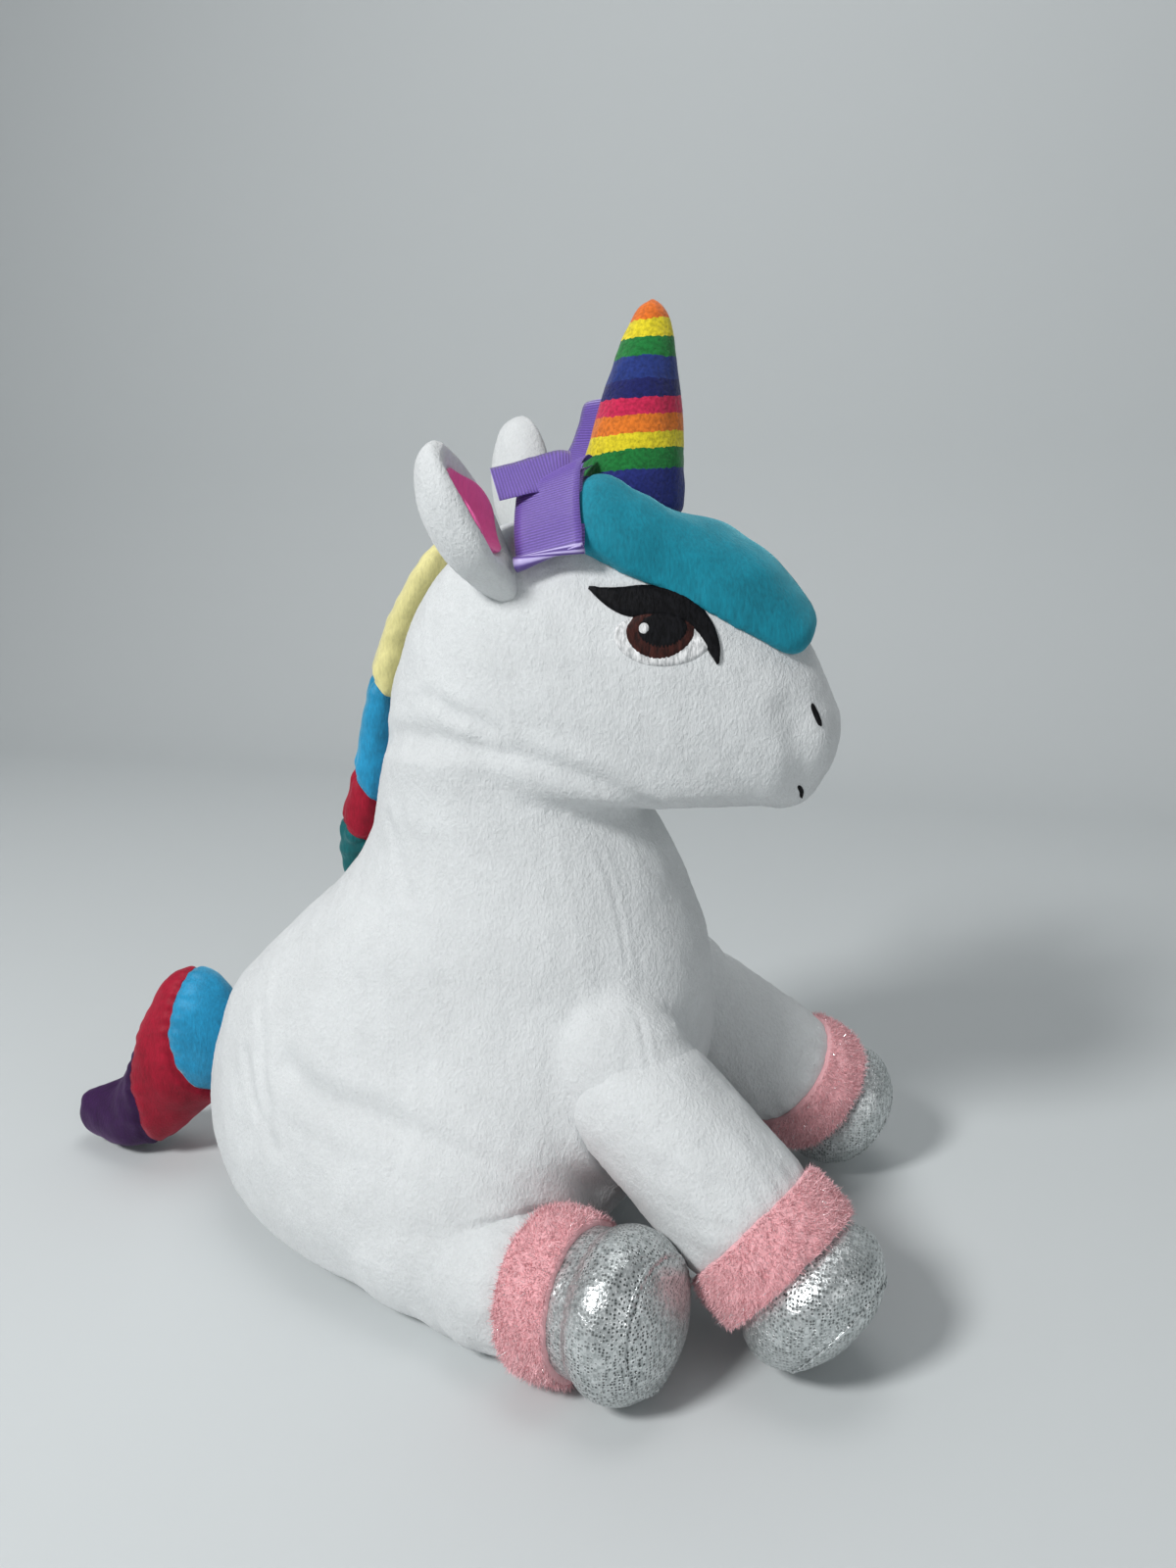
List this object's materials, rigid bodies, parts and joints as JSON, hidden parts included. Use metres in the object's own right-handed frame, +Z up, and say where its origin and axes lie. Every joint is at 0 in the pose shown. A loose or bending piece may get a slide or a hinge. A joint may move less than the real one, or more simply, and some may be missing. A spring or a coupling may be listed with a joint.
{
  "type": "plush unicorn",
  "caption": "Sitting plush unicorn with a soft horn, ribbon bow, colourful mane and tail, fluffy cuffs and shiny hooves; head, limbs, ears and tail flex.",
  "frame": {"origin": "middle of the flat seat panel, on the surface that the toy sits on", "axes": "+X the way the nose points, +Y the animal's left, +Z up"},
  "size_m": [0.3323, 0.2295, 0.3239],
  "materials": {
    "white_plush": "short-pile velboa plush, matte",
    "filling": "polyester fibre filling",
    "pellets": "woven pouch of plastic pellets",
    "pink_plush": "short-pile plush, matte",
    "pink_fluff": "long fluffy pile with sparkling tinsel fibres",
    "silver_foil": "knit printed with silver foil dots, sparkling",
    "rainbow_plush": "short-pile plush printed with rainbow stripes",
    "teal_velvet": "velvet-like short pile with a soft sheen",
    "purple_ribbon": "grosgrain ribbon with fine cross ribs",
    "black_thread": "embroidery thread, satin stitch",
    "white_thread": "embroidery thread, satin stitch",
    "brown_thread": "embroidery thread, satin stitch",
    "yellow_velour": "satin-like velour, slightly shiny",
    "blue_velour": "satin-like velour, slightly shiny",
    "crimson_velour": "satin-like velour, slightly shiny",
    "green_velour": "satin-like velour, slightly shiny",
    "purple_velour": "satin-like velour, slightly shiny"
  },
  "bodies": {
    "torso": {"body_left": "white_plush", "body_right": "white_plush", "chest_gusset": "white_plush", "seat_panel": "white_plush", "body_stuffing": "filling", "pellet_pouch": "pellets", "neck_stuffing": "filling", "mane_crimson": "crimson_velour", "mane_teal": "green_velour"},
    "head": {"face_left": "white_plush", "face_right": "white_plush", "nape_left": "white_plush", "nape_right": "white_plush", "crown_gusset": "white_plush", "chin_gusset": "white_plush", "head_stuffing": "filling", "eye_whites": "white_thread", "eye_irises": "brown_thread", "eye_lids": "black_thread", "nostril_stitches": "black_thread", "mouth_stitch": "black_thread", "forelock_root": "teal_velvet", "bow_loop_right": "purple_ribbon", "bow_loop_left": "purple_ribbon", "bow_tail": "purple_ribbon", "bow_thread": "black_thread", "mane_yellow": "yellow_velour", "mane_blue": "blue_velour"},
    "ear_left": {"ear_left_back": "white_plush", "ear_left_lining": "pink_plush"},
    "ear_right": {"ear_right_back": "white_plush", "ear_right_lining": "pink_plush"},
    "horn": {"horn_cover": "rainbow_plush", "horn_stuffing": "filling"},
    "forelock_flap": {"forelock": "teal_velvet"},
    "tail": {"tail_blue": "blue_velour", "tail_crimson": "crimson_velour", "tail_purple": "purple_velour", "tail_stuffing": "filling"},
    "foreleg_left": {"foreleg_left_sleeve": "white_plush", "foreleg_left_cuff": "pink_fluff", "foreleg_left_hoof": "silver_foil", "foreleg_left_sole": "silver_foil", "foreleg_left_stuffing": "filling"},
    "foreleg_right": {"foreleg_right_sleeve": "white_plush", "foreleg_right_cuff": "pink_fluff", "foreleg_right_hoof": "silver_foil", "foreleg_right_sole": "silver_foil", "foreleg_right_stuffing": "filling"},
    "hind_leg_left": {"hind_leg_left_sleeve": "white_plush", "hind_leg_left_cuff": "pink_fluff", "hind_leg_left_hoof": "silver_foil", "hind_leg_left_sole": "silver_foil", "hind_leg_left_stuffing": "filling"},
    "hind_leg_right": {"hind_leg_right_sleeve": "white_plush", "hind_leg_right_cuff": "pink_fluff", "hind_leg_right_hoof": "silver_foil", "hind_leg_right_sole": "silver_foil", "hind_leg_right_stuffing": "filling"}
  },
  "joints": [
    {"name": "head_nod", "type": "hinge", "parent": "torso", "child": "head", "pos_m": [0.038, 0, 0.156], "axis": [0, 1, 0], "range_deg": [-8, 8], "stiffness_Nm_per_rad": 0.8},
    {"name": "ear_left_fold", "type": "hinge", "parent": "head", "child": "ear_left", "pos_m": [0.0365, 0.036, 0.247], "axis": [0, 0.9785, -0.206], "range_deg": [-8, 10], "stiffness_Nm_per_rad": 0.03},
    {"name": "ear_right_fold", "type": "hinge", "parent": "head", "child": "ear_right", "pos_m": [0.049, -0.0375, 0.2385], "axis": [0, 0.93, 0.3677], "range_deg": [-8, 10], "stiffness_Nm_per_rad": 0.03},
    {"name": "horn_lean", "type": "hinge", "parent": "head", "child": "horn", "pos_m": [0.081, 0, 0.265], "axis": [0, 1, 0], "range_deg": [-8, 8], "stiffness_Nm_per_rad": 0.08},
    {"name": "forelock_lift", "type": "hinge", "parent": "head", "child": "forelock_flap", "pos_m": [0.101, -0.008, 0.268], "axis": [0, -1, 0], "range_deg": [0, 20], "stiffness_Nm_per_rad": 0.03},
    {"name": "tail_wag", "type": "hinge", "parent": "torso", "child": "tail", "pos_m": [-0.09, 0, 0.066], "axis": [0, 0, 1], "range_deg": [-20, 20], "stiffness_Nm_per_rad": 0.08},
    {"name": "foreleg_left_swing", "type": "hinge", "parent": "torso", "child": "foreleg_left", "pos_m": [0.087, 0.038, 0.08], "axis": [0, -1, 0], "range_deg": [0, 35], "stiffness_Nm_per_rad": 0.3},
    {"name": "foreleg_right_swing", "type": "hinge", "parent": "torso", "child": "foreleg_right", "pos_m": [0.087, -0.038, 0.08], "axis": [0, -1, 0], "range_deg": [0, 35], "stiffness_Nm_per_rad": 0.3},
    {"name": "hind_leg_left_splay", "type": "hinge", "parent": "torso", "child": "hind_leg_left", "pos_m": [0.048, 0.069, 0.022], "axis": [0, 0, 1], "range_deg": [0, 20], "stiffness_Nm_per_rad": 0.3},
    {"name": "hind_leg_right_splay", "type": "hinge", "parent": "torso", "child": "hind_leg_right", "pos_m": [0.048, -0.069, 0.022], "axis": [0, 0, -1], "range_deg": [0, 20], "stiffness_Nm_per_rad": 0.3}
  ]
}
